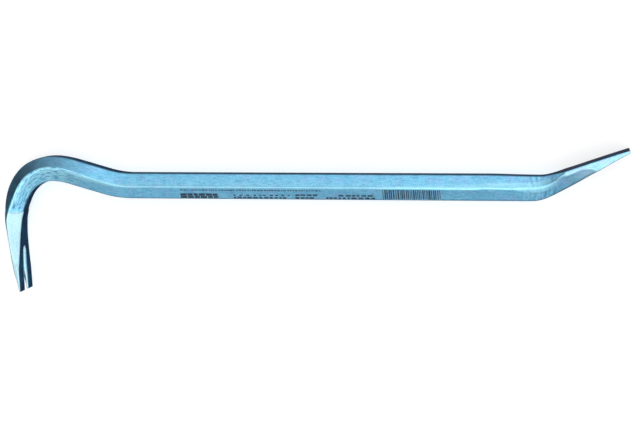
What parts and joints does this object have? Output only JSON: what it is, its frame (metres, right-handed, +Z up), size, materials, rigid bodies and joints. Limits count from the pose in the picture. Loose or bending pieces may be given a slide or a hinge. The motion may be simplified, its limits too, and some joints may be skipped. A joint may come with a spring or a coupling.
{
  "type": "nail puller",
  "caption": "Forged hexagonal steel nail puller with a slotted claw on a goose-neck hook and a bent chisel at the other end.",
  "frame": {"origin": "middle of the bounding box, on the plane the bar lies on", "axes": "+X along the shank towards the chisel, +Y away from the claw in the plane of the bends, +Z up, square to the plane of the bends"},
  "size_m": [0.45, 0.1048, 0.026],
  "materials": {
    "forged_steel": "forged surface with a blue-tinted satin metal finish",
    "clear_film": "clear glossy film"
  },
  "bodies": {
    "root": {"forged_bar": "forged_steel", "label_film": "clear_film"}
  },
  "joints": []
}
